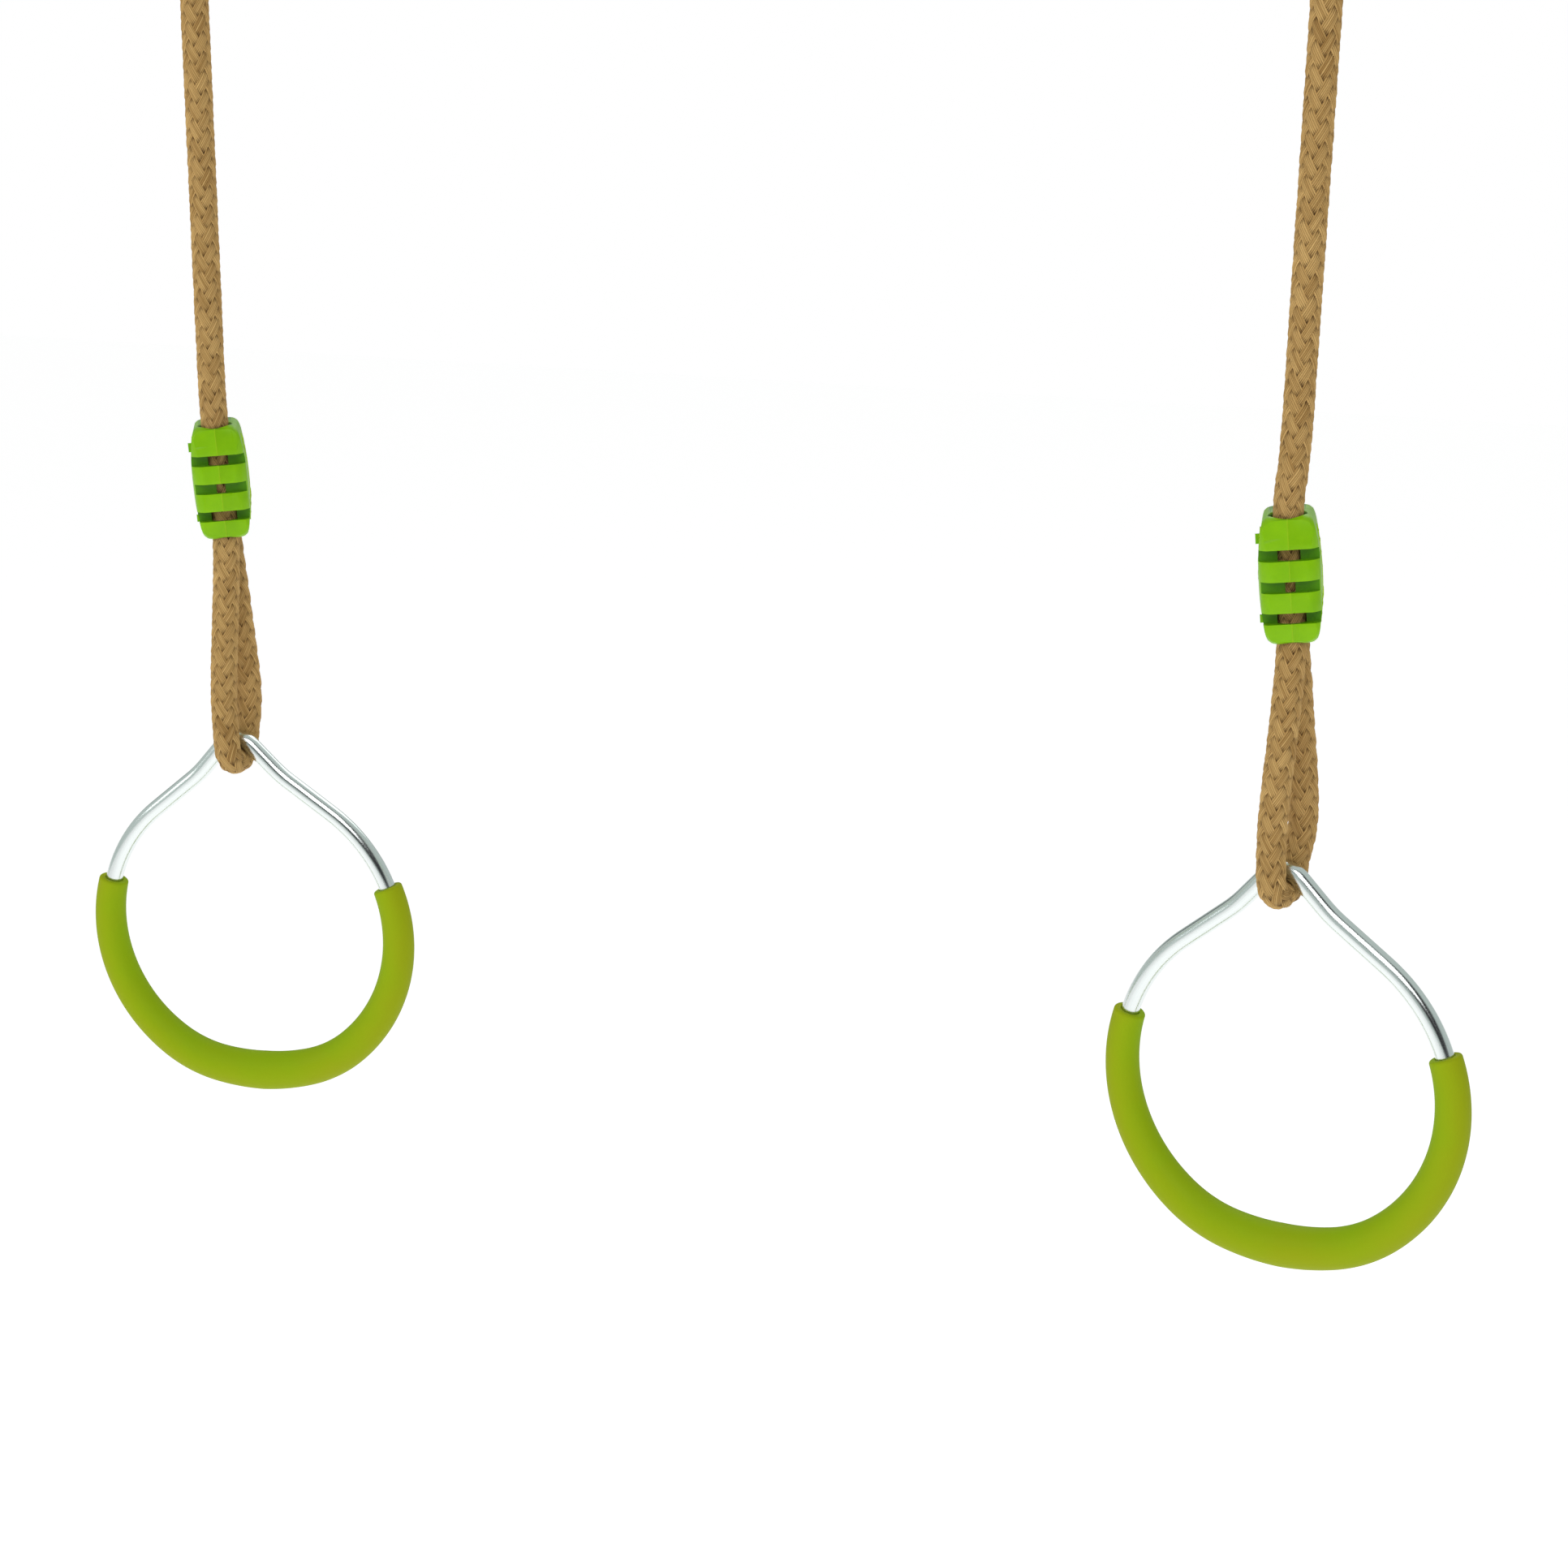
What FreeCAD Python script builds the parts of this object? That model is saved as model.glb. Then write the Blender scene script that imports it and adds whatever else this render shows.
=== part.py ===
import FreeCAD, Part
import math
import os

from FreeCAD import Placement, Rotation, Vector

# A pair of hanging trapeze rings. Each side is a beam hook, a link, a rope eye on a thimble,
# a rope with a plastic adjuster, and a bent steel ring with a soft grip. Millimetres, +Z up.
# The origin is where the left hook's shank enters the beam's underside. +X runs along the
# beam to the right hook, and +Y away from the front.

doc = FreeCAD.newDocument("rings")
sheet = doc.addObject("Spreadsheet::Sheet", "Sizes")

SIZES = {
    # both hooks, in one beam
    "HookSpacing": 492,
    "ShankDiameter": 10,
    "ShankLength": 60,
    "CollarDiameter": 22,
    "CollarThickness": 5,
    "HookEyeRadius": 17,
    "HookEyeDrop": 26,
    "HookBar": 10,
    # steel link between hook and rope eye
    "LinkRadius": 22,
    "LinkBar": 8,
    "RunningGap": 0.3,
    # thimble, rope eye and ferrule
    "ThimbleBore": 20,
    "ThimbleWidth": 16,
    "ThimbleFlange": 34,
    "ThimbleWall": 3.5,
    "FerruleDrop": 46,
    "FerruleLength": 28,
    "FerruleWall": 2.5,
    "FerruleFloor": 4,
    "EyeKinkDrop": 36,
    # rope
    "RopeDiameter": 12,
    "RopePairGap": 0.6,
    "RopeFall": 376,
    "RightDrop": 6,
    # adjuster, in two moulded halves
    "AdjusterHeight": 52,
    "AdjusterWidth": 25,
    "AdjusterWall": 3.2,
    "AdjusterCorner": 7,
    "AdjusterCrown": 130,
    "AdjusterEdge": 6.5,
    "AdjusterAboveRod": 99.5,
    "ChannelClearance": 1.5,
    "ChannelWeb": 1.6,
    "TopBand": 13,
    "MiddleBand": 8.2,
    "SlotHeight": 4.6,
    "TopWindow": 9,
    "MiddleWindow": 4,
    "BottomWindow": 11.5,
    "StopLength": 12,
    "StopWall": 2.2,
    "StopGap": 0.2,
    "TailLength": 34,
    "MouthChamfer": 0.5,
    # rope loop round the ring's rod
    "RodGap": 0.4,
    "LegExit": 8,
    "LegSettle": 12,
    # ring rod: a closed chain of tangent arcs, mirrored left to right
    "RodDiameter": 8,
    "ApexTurn": 47,
    "NeckRun": 14.5,
    "NeckRadius": 60,
    "NeckTurn": 9.6,
    "SideRadius": 75.5,
    "SideTurn": 104.1,
    "CornerRadius": 59,
    "CornerTurn": 24.7,
    "BottomRadius": 96.6,
    # soft grip over the lower half
    "GripRise": 24,
    "GripEndDiameter": 14,
    "GripMiddleDiameter": 19,
    "GripEdge": 1.2,
}
for row, (alias, number) in enumerate(SIZES.items(), start=1):
    sheet.set(f"A{row}", alias)
    sheet.set(f"B{row}", str(number))
    sheet.setAlias(f"B{row}", alias)
doc.recompute()


def size(alias):
    return float(getattr(sheet, alias))


# What differs between the two sides: where each hangs and how its pieces have turned.
# Turns are in degrees, anticlockwise from above; a lean is clockwise from the front.
SIDES = {
    "left": {"hook_x": 0.0, "drop": 0.0, "apex": (0.0, 3.0),
             "adjuster_turn": 30.0, "adjuster_lean": -2.4, "ring_turn": 8.1, "ring_roll": 2.5},
    "right": {"hook_x": size("HookSpacing"), "drop": size("RightDrop"), "apex": (6.0, 4.0),
              "adjuster_turn": 8.0, "adjuster_lean": -2.6, "ring_turn": -12.3, "ring_roll": 3.6},
}

# Heights that several pieces share, worked down from the beam's underside.
rope_radius = size("RopeDiameter") / 2
hook_bar_z = -size("HookEyeDrop") - size("HookEyeRadius")
link_top_z = hook_bar_z + (size("HookBar") + size("LinkBar")) / 2 + size("RunningGap")
link_z = link_top_z - size("LinkRadius")
link_bar_z = link_z - size("LinkRadius")
# the link's bar curves up towards the thimble's faces, so the bore hangs from those points
link_inside = size("LinkRadius") - size("LinkBar") / 2
bar_top_z = link_z - math.sqrt(link_inside ** 2 - (size("ThimbleWidth") / 2) ** 2)
thimble_z = bar_top_z + size("RunningGap") - size("ThimbleBore") / 2
eye_radius = size("ThimbleBore") / 2 + size("ThimbleWall") + rope_radius
rope_offset = rope_radius + size("RopePairGap") / 2
ferrule_top_z = thimble_z - size("FerruleDrop")
ferrule_z = ferrule_top_z - size("FerruleLength")
channel_radius = rope_radius + size("ChannelClearance")
channel_offset = channel_radius + size("ChannelWeb") / 2
bend_radius = size("RodDiameter") / 2 + rope_radius + size("RodGap")
# the rod's apex is bent to the rope's own roundness, so the rope sits in it with an even gap
apex_radius = size("RodDiameter") / 2 + rope_radius


def add(kind, name, place=None, **expressions):
    """Add an object whose sizes are bound to the sheet."""
    made = doc.addObject(kind, name)
    for prop, text in expressions.items():
        made.setExpression(prop, text)
    if place is not None:
        made.Placement = place
    return made


def at(x, y, z, axis=(0, 0, 1), angle=0):
    return Placement(Vector(x, y, z), Rotation(Vector(*axis), angle))


def cut(name, base, tools):
    """Take several tools off a base, one boolean at a time."""
    for number, tool in enumerate(tools):
        made = doc.addObject("Part::Cut", name if number == len(tools) - 1 else f"{name}_cut{number}")
        made.Base = base
        made.Tool = tool
        base = made
    return base


def fuse(name, shapes):
    made = doc.addObject("Part::MultiFuse", name)
    made.Shapes = shapes
    return made


def common(name, shapes):
    made = doc.addObject("Part::MultiCommon", name)
    made.Shapes = shapes
    return made


def corner_arc(before, corner, after, reach):
    """The arc that starts and ends at a reach from a corner, tangent to both of its runs."""
    into = (corner - before).normalize()
    out = (after - corner).normalize()
    turn = into.getAngle(out)
    radius = reach / math.tan(turn / 2)
    bulge = radius / math.cos(turn / 2) - radius
    middle = corner + (out - into).normalize() * bulge
    return corner - into * reach, middle, corner + out * reach, radius


def route_wire(points):
    """Straight runs joined by tangent arcs, each as large as its two runs allow."""
    edges = []
    radii = []
    start = points[0]
    for before, corner, after in zip(points, points[1:], points[2:]):
        reach = 0.45 * min(corner.distanceToPoint(before), corner.distanceToPoint(after))
        first, middle, last, radius = corner_arc(before, corner, after, reach)
        edges.append(Part.LineSegment(start, first).toShape())
        edges.append(Part.Arc(first, middle, last).toShape())
        radii.append(radius)
        start = last
    edges.append(Part.LineSegment(start, points[-1]).toShape())
    return Part.Wire(edges), radii


tube_lines = []


def rope_tube(name, wire, radii):
    """A plain round tube of the rope's section along a wire."""
    path = doc.addObject("Part::Feature", name + "_path")
    path.Shape = wire
    start = wire.Edges[0]
    section = add("Part::Circle", name + "_section", Radius="Sizes.RopeDiameter / 2")
    heading = start.tangentAt(start.FirstParameter)
    section.Placement = Placement(start.valueAt(start.FirstParameter), Rotation(Vector(0, 0, 1), heading))
    tube = doc.addObject("Part::Sweep", name)
    tube.Sections = [section]
    tube.Spine = (path, [f"Edge{number + 1}" for number in range(len(wire.Edges))])
    tube.Solid = True
    tube.Frenet = False
    tube_lines.append((tube, wire.Length, radii))
    return tube


def hook(side, name):
    """Screw-in swing hook: threaded shank, collar and a closed eye in the YZ plane."""
    shank = add("Part::Cylinder", name + "_shank", Radius="Sizes.ShankDiameter / 2",
                Height="Sizes.ShankLength")
    collar = add("Part::Cylinder", name + "_collar", at(0, 0, -size("CollarThickness")),
                 Radius="Sizes.CollarDiameter / 2", Height="Sizes.CollarThickness")
    eye = add("Part::Torus", name + "_eye", at(0, 0, -size("HookEyeDrop"), (0, 1, 0), 90),
              Radius1="Sizes.HookEyeRadius", Radius2="Sizes.HookBar / 2")
    made = fuse(name, [shank, collar, eye])
    made.Placement = at(side["hook_x"], 0, 0)
    return made


def link(side, name):
    """Welded steel link in the XZ plane, hanging on the hook's eye."""
    return add("Part::Torus", name, at(side["hook_x"], 0, link_z, (1, 0, 0), 90),
               Radius1="Sizes.LinkRadius", Radius2="Sizes.LinkBar / 2")


def thimble(side, name):
    """Grooved round eye: the link's bar runs through its bore and the rope round its groove."""
    half = size("ThimbleWidth") / 2
    blank = add("Part::Cylinder", name + "_blank", at(-half, 0, 0, (0, 1, 0), 90),
                Radius="Sizes.ThimbleFlange / 2", Height="Sizes.ThimbleWidth")
    bore = add("Part::Cylinder", name + "_bore", at(-half, 0, 0, (0, 1, 0), 90),
               Radius="Sizes.ThimbleBore / 2", Height="Sizes.ThimbleWidth")
    groove = add("Part::Torus", name + "_groove", at(0, 0, 0, (0, 1, 0), 90),
                 Radius1="Sizes.ThimbleBore / 2 + Sizes.ThimbleWall + Sizes.RopeDiameter / 2",
                 Radius2="Sizes.RopeDiameter / 2")
    made = cut(name, blank, [bore, groove])
    made.Placement = at(side["hook_x"], 0, thimble_z)
    return made


def rope_eye(side, name):
    """The rope's end: up out of the ferrule, round the thimble and back into the ferrule."""
    x = side["hook_x"]
    # each leg leaves the thimble's groove on a tangent that meets its ferrule bore's line
    kink_drop = size("EyeKinkDrop")
    lean = math.asin(eye_radius / math.hypot(kink_drop, rope_offset)) - math.atan2(rope_offset, kink_drop)
    leave_y = eye_radius * math.cos(lean)
    leave_z = thimble_z - eye_radius * math.sin(lean)
    kink_z = thimble_z - kink_drop

    def leg(sign, end_z):
        end = Vector(x, sign * rope_offset, end_z)
        kink = Vector(x, sign * rope_offset, kink_z)
        groove = Vector(x, sign * leave_y, leave_z)
        first, middle, last, radius = corner_arc(end, kink, groove, 0.45 * (kink_z - ferrule_top_z))
        radii.append(radius)
        return [Part.LineSegment(end, first).toShape(), Part.Arc(first, middle, last).toShape(),
                Part.LineSegment(last, groove).toShape()]

    radii = [eye_radius]
    front = leg(-1, ferrule_z)
    back = leg(1, ferrule_z + size("FerruleFloor"))
    over = Part.Arc(Vector(x, -leave_y, leave_z), Vector(x, 0, thimble_z + eye_radius),
                    Vector(x, leave_y, leave_z)).toShape()
    wire = Part.Wire(front + [over] + list(reversed(back)))
    return rope_tube(name, wire, radii)


def ferrule(side, name):
    """Oval clamp pressed over the rope and its end; the end's bore is blind."""
    height = "Sizes.FerruleLength"
    around = "Sizes.RopeDiameter / 2 + Sizes.FerruleWall"
    front = add("Part::Cylinder", name + "_front", at(0, -rope_offset, 0), Radius=around, Height=height)
    back = add("Part::Cylinder", name + "_back", at(0, rope_offset, 0), Radius=around, Height=height)
    half = rope_radius + size("FerruleWall")
    web = add("Part::Box", name + "_web", at(-half, -rope_offset, 0),
              Length="Sizes.RopeDiameter + 2 * Sizes.FerruleWall",
              Width="Sizes.RopeDiameter + Sizes.RopePairGap", Height=height)
    oval = fuse(name + "_oval", [front, back, web])
    through = add("Part::Cylinder", name + "_through", at(0, -rope_offset, 0),
                  Radius="Sizes.RopeDiameter / 2", Height=height)
    blind = add("Part::Cylinder", name + "_blind", at(0, rope_offset, size("FerruleFloor")),
                Radius="Sizes.RopeDiameter / 2", Height=height)
    made = cut(name, oval, [through, blind])
    made.Placement = at(side["hook_x"], 0, ferrule_z)
    return made


def rod_z(side):
    """Height of the ring's apex, where the rope goes round the rod."""
    return ferrule_z - size("RopeFall") - side["drop"]


def adjuster_place(side):
    """The adjuster hangs with its front channel on the rope's line."""
    centre_z = rod_z(side) + size("AdjusterAboveRod") + size("AdjusterHeight") / 2
    turn = Rotation(Vector(0, 0, 1), side["adjuster_turn"])
    lean = Rotation(Vector(0, 1, 0), side["adjuster_lean"])
    place = Placement(Vector(side["hook_x"], -rope_offset, centre_z), turn * lean)
    return place * Placement(Vector(0, channel_offset, 0), Rotation())


def apex_place(side):
    """The rod's apex, with X along the rod and the rope passing beneath."""
    x, y = side["apex"]
    return Placement(Vector(side["hook_x"] + x, y, rod_z(side)),
                     Rotation(Vector(0, 0, 1), side["ring_turn"]))


def main_rope(side, name):
    """Straight rope from the ferrule down into the adjuster's front channel."""
    length = ferrule_z - adjuster_place(side).Base.z
    made = add("Part::Cylinder", name, at(side["hook_x"], -rope_offset, ferrule_z - length),
               Radius="Sizes.RopeDiameter / 2")
    made.Height = length
    return made


def front_leg(side, name):
    """The same rope from inside the adjuster down to the front of the rod."""
    top = Vector(side["hook_x"], -rope_offset, adjuster_place(side).Base.z)
    exit_z = rod_z(side) + size("AdjusterAboveRod") - size("LegExit")
    settle = apex_place(side).multVec(Vector(0, -bend_radius, size("LegSettle")))
    end = apex_place(side).multVec(Vector(0, -bend_radius, 0))
    wire, radii = route_wire([top, Vector(top.x, top.y, exit_z), settle, end])
    return rope_tube(name, wire, radii)


def rope_bend(side, name):
    """Half a turn of rope under the rod's apex."""
    place = apex_place(side)
    ends = [place.multVec(Vector(0, y, z)) for y, z in
            ((-bend_radius, 0), (0, -bend_radius), (bend_radius, 0))]
    wire = Part.Wire([Part.Arc(*ends).toShape()])
    return rope_tube(name, wire, [bend_radius])


def rear_leg(side, name):
    """The rope going back up behind the rod into the adjuster's rear channel."""
    channel = adjuster_place(side)
    half = size("AdjusterHeight") / 2
    start = apex_place(side).multVec(Vector(0, bend_radius, 0))
    settle = apex_place(side).multVec(Vector(0, bend_radius, size("LegSettle")))
    below = channel.multVec(Vector(0, channel_offset, -half - size("LegExit")))
    end = channel.multVec(Vector(0, channel_offset, -half))
    wire, radii = route_wire([start, settle, below, end])
    return rope_tube(name, wire, radii)


def tail(side, name):
    """The rope's last stretch, inside the rear channel."""
    made = add("Part::Cylinder", name, Radius="Sizes.RopeDiameter / 2", Height="Sizes.TailLength")
    made.Placement = adjuster_place(side) * at(0, channel_offset, -size("AdjusterHeight") / 2)
    return made


def tail_stop(side, name):
    """Crimped band near the tail's end; it sits on the ledge in the rear channel."""
    outer = add("Part::Cylinder", name + "_outer",
                Radius="Sizes.RopeDiameter / 2 + Sizes.StopWall", Height="Sizes.StopLength")
    inner = add("Part::Cylinder", name + "_inner", Radius="Sizes.RopeDiameter / 2",
                Height="Sizes.StopLength")
    made = cut(name, outer, [inner])
    seat = -size("AdjusterHeight") / 2 + size("TailLength") - size("StopLength")
    made.Placement = adjuster_place(side) * at(0, channel_offset, seat)
    return made


def rounded_edges(name, base, radius, chosen):
    """Round the edges of a solid that a test picks out."""
    doc.recompute()
    made = doc.addObject("Part::Fillet", name)
    made.Base = base
    made.Edges = [(number, radius, radius) for number, edge in enumerate(base.Shape.Edges, start=1)
                  if chosen(edge)]
    return made


def adjuster_solid(name):
    """The whole moulding before it is parted: a crowned block with two channels and six slots."""
    height = size("AdjusterHeight")
    half = height / 2
    width = size("AdjusterWidth")
    end_face = channel_offset + channel_radius + size("AdjusterWall")
    block = add("Part::Box", name + "_block", at(-width / 2, -end_face, -half),
                Length="Sizes.AdjusterWidth", Height="Sizes.AdjusterHeight")
    block.Width = 2 * end_face
    upright = rounded_edges(name + "_upright", block, size("AdjusterCorner"),
                            lambda edge: abs(edge.CenterOfMass.z) < 1e-3)
    rounded = rounded_edges(name + "_rounded", upright, size("AdjusterEdge"),
                            lambda edge: abs(abs(edge.CenterOfMass.z) - half) < 1e-3)
    # crowned sides and a crowned front and back
    crown = size("AdjusterCrown")
    drums = []
    for label, across, along in (("left", crown - width / 2, 0), ("right", width / 2 - crown, 0),
                                 ("fore", 0, crown - end_face), ("aft", 0, end_face - crown)):
        drum = add("Part::Cylinder", f"{name}_crown_{label}", Radius="Sizes.AdjusterCrown")
        drum.Height = 2 * crown
        if across:
            drum.Placement = at(across, crown, 0, (1, 0, 0), 90)
        else:
            drum.Placement = at(-crown, along, 0, (0, 1, 0), 90)
        drums.append(drum)
    crowned = common(name + "_crowned", [rounded] + drums)

    tools = []
    # front channel runs right through; the rear one is closed at the top
    front_channel = add("Part::Cylinder", name + "_front_channel", at(0, -channel_offset, -height),
                        Radius="Sizes.RopeDiameter / 2 + Sizes.ChannelClearance")
    front_channel.Height = 2 * height
    tools.append(front_channel)
    stop_seat = -half + size("TailLength") - size("StopLength")
    rear_channel = add("Part::Cylinder", name + "_rear_channel", at(0, channel_offset, -height),
                       Radius="Sizes.RopeDiameter / 2 + Sizes.ChannelClearance")
    rear_channel.Height = height + stop_seat
    tools.append(rear_channel)
    pocket = add("Part::Cylinder", name + "_stop_pocket", at(0, channel_offset, stop_seat),
                 Radius="Sizes.RopeDiameter / 2 + Sizes.StopWall + Sizes.StopGap",
                 Height="Sizes.StopLength + Sizes.StopGap")
    tools.append(pocket)
    # softened mouths
    for label, y, z, turn in (("front_top", -channel_offset, half, 180), ("front_low", -channel_offset, -half, 0),
                              ("rear_low", channel_offset, -half, 0)):
        mouth = add("Part::Cone", f"{name}_mouth_{label}", at(0, y, z, (1, 0, 0), turn),
                    Radius1="Sizes.RopeDiameter / 2 + Sizes.ChannelClearance + Sizes.MouthChamfer",
                    Radius2="Sizes.RopeDiameter / 2 + Sizes.ChannelClearance",
                    Height="2 * Sizes.MouthChamfer")
        tools.append(mouth)
    # slots: each has a flat back that opens a window of its own width into the channel
    for face, sign in (("front", -1), ("rear", 1)):
        top_z = half - size("TopBand")
        for number, window in enumerate(("TopWindow", "MiddleWindow", "BottomWindow")):
            low_z = top_z - size("SlotHeight")
            back = channel_offset + math.sqrt(channel_radius ** 2 - (size(window) / 2) ** 2)
            slot = add("Part::Box", f"{name}_{face}_slot{number}",
                       at(-width, back if sign > 0 else -width - back, low_z),
                       Height="Sizes.SlotHeight")
            slot.Length = 2 * width
            slot.Width = width
            tools.append(slot)
            top_z = low_z - size("MiddleBand")
    return cut(name, crowned, tools)


def adjuster_half(side, name, sign, solid):
    """One of the two mouldings, which meet on the plane through both channels."""
    reach = size("AdjusterHeight")
    block = add("Part::Box", name + "_side", at(0 if sign > 0 else -reach, -reach, -reach))
    block.Length = reach
    block.Width = 2 * reach
    block.Height = 2 * reach
    made = common(name, [solid, block])
    made.Placement = adjuster_place(side)
    return made


def ring_chain():
    """Right half of the ring's centreline from the apex down, as (kind, radius, turn) pieces."""
    shoulder = size("ApexTurn") - size("NeckTurn")
    bottom = 180 - shoulder - size("SideTurn") - size("CornerTurn")
    return [("arc", apex_radius, size("ApexTurn")), ("run", size("NeckRun"), 0),
            ("arc", -size("NeckRadius"), -size("NeckTurn")), ("run", None, 0),
            ("arc", size("SideRadius"), size("SideTurn")),
            ("arc", size("CornerRadius"), size("CornerTurn")),
            ("arc", size("BottomRadius"), bottom)]


def walk(chain, shoulder_run):
    """Points and edges of the half ring; heading 0 is along +X and turns downwards."""
    here = Vector(0, 0, 0)
    heading = 0.0
    pieces = []
    for kind, amount, turn in chain:
        if kind == "run":
            length = shoulder_run if amount is None else amount
            there = here + Vector(math.cos(heading), 0, -math.sin(heading)) * length
            pieces.append(("run", here, None, there))
        else:
            centre = here - Vector(math.sin(heading), 0, math.cos(heading)) * amount
            halfway = heading + math.radians(turn) / 2
            heading += math.radians(turn)
            middle = centre + Vector(math.sin(halfway), 0, math.cos(halfway)) * amount
            there = centre + Vector(math.sin(heading), 0, math.cos(heading)) * amount
            pieces.append(("arc", here, middle, there))
        here = there
    return pieces


def ring_pieces():
    """The half ring closed on its own middle line by the length of its shoulder run."""
    chain = ring_chain()
    shoulder = math.radians(size("ApexTurn") - size("NeckTurn"))
    gap = walk(chain, 0)[-1][3].x
    return walk(chain, -gap / math.cos(shoulder))


def ring_edge(kind, start, middle, end, mirror=False):
    def flip(point):
        return Vector(-point.x, point.y, point.z) if mirror else point
    if kind == "run":
        return Part.LineSegment(flip(start), flip(end)).toShape()
    return Part.Arc(flip(start), flip(middle), flip(end)).toShape()


def ring_place(side):
    """The ring hangs on the rope's bend and has rolled a little about the rope's middle."""
    roll = Placement(Vector(0, 0, 0), Rotation(Vector(0, 1, 0), -side["ring_roll"]),
                     Vector(0, 0, -bend_radius))
    return apex_place(side) * roll


def half_sweep(name, edges, sections):
    """Sweep round sections along a chain of edges; a section is (point, heading, diameter)."""
    path = doc.addObject("Part::Feature", name + "_path")
    path.Shape = Part.Wire(edges)
    rims = []
    for number, (point, heading, diameter) in enumerate(sections):
        rim = add("Part::Circle", f"{name}_rim{number}", Radius=f"{diameter} / 2")
        rim.Placement = Placement(point, Rotation(Vector(0, 0, 1), heading))
        rims.append(rim)
    tube = doc.addObject("Part::Sweep", name)
    tube.Sections = rims
    tube.Spine = (path, [f"Edge{number + 1}" for number in range(len(path.Shape.Edges))])
    tube.Solid = True
    tube.Frenet = False
    return tube


def mirrored(name, source):
    made = doc.addObject("Part::Mirroring", name)
    made.Source = source
    made.Base = Vector(0, 0, 0)
    made.Normal = Vector(1, 0, 0)
    return made


def ring_rod(side, name):
    """Round steel rod bent to the ring and welded closed inside the grip."""
    edges = [ring_edge(*piece) for piece in ring_pieces()]
    right = half_sweep(name + "_right", edges, [(Vector(0, 0, 0), Vector(1, 0, 0), "Sizes.RodDiameter")])
    made = fuse(name, [right, mirrored(name + "_left", right)])
    made.Refine = True
    made.Placement = ring_place(side)
    return made


def ring_grip(side, name):
    """Soft sleeve over the lower half of the rod, thicker at the bottom than at its ends."""
    pieces = ring_pieces()
    side_start, side_end = pieces[4][1], pieces[4][3]
    heading = math.radians(size("ApexTurn") - size("NeckTurn"))
    centre = side_start - Vector(math.sin(heading), 0, math.cos(heading)) * size("SideRadius")
    rise = math.asin(size("GripRise") / size("SideRadius"))

    def on_side(angle):
        return centre + Vector(math.cos(angle), 0, math.sin(angle)) * size("SideRadius")

    last = math.atan2(side_end.z - centre.z, side_end.x - centre.x)
    start = on_side(rise)
    edges = [Part.Arc(start, on_side((rise + last) / 2), side_end).toShape()]
    edges += [ring_edge(*piece) for piece in pieces[5:]]
    bottom = pieces[-1][3]
    heading = Vector(math.sin(rise), 0, -math.cos(rise))
    outer = half_sweep(name + "_right", edges,
                       [(start, heading, "Sizes.GripEndDiameter"),
                        (bottom, Vector(-1, 0, 0), "Sizes.GripMiddleDiameter")])
    inner = half_sweep(name + "_hole", edges, [(start, heading, "Sizes.RodDiameter")])
    softened = rounded_edges(name + "_softened", outer, size("GripEdge"),
                             lambda edge: edge.CenterOfMass.sub(start).Length < size("GripEndDiameter") / 4)
    sleeve = cut(name + "_sleeve", softened, [inner])
    made = fuse(name, [sleeve, mirrored(name + "_left", sleeve)])
    made.Refine = True
    made.Placement = ring_place(side)
    return made


parts = []
for side_name, side in SIDES.items():
    makers = {"hook": hook, "link": link, "thimble": thimble, "rope_eye": rope_eye,
              "ferrule": ferrule, "main_rope": main_rope, "front_leg": front_leg,
              "rope_bend": rope_bend, "rear_leg": rear_leg, "rope_tail": tail,
              "tail_stop": tail_stop, "ring_rod": ring_rod, "ring_grip": ring_grip}
    for piece, maker in makers.items():
        node = f"{side_name}_{piece}"
        made = maker(side, node)
        made.Label = node
        parts.append(made)
    moulding = adjuster_solid(f"{side_name}_adjuster")
    for piece, sign in (("adjuster_half_a", -1), ("adjuster_half_b", 1)):
        node = f"{side_name}_{piece}"
        made = adjuster_half(side, node, sign, moulding)
        made.Label = node
        parts.append(made)

doc.recompute()
failed = [made.Label for made in doc.Objects if "Invalid" in made.State or "Error" in made.State]
failed += [made.Label for made in parts
           if made.Shape.isNull() or not made.Shape.isValid() or len(made.Shape.Solids) != 1]
if failed:
    raise RuntimeError("these objects failed: " + ", ".join(failed))

for tube, length, radii in tube_lines:
    section = math.pi * rope_radius ** 2
    print(f"{tube.Label}: length {length:.1f}, volume / (section x length) "
          f"{tube.Shape.Volume / section / length:.4f}, arc radii "
          + ", ".join(f"{radius:.1f}" for radius in radii))

os.makedirs("parts", exist_ok=True)
for made in parts:
    made.Shape.exportStep(f"parts/{made.Label}.step")
print(len(parts), "parts written")
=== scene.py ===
import math

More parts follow.
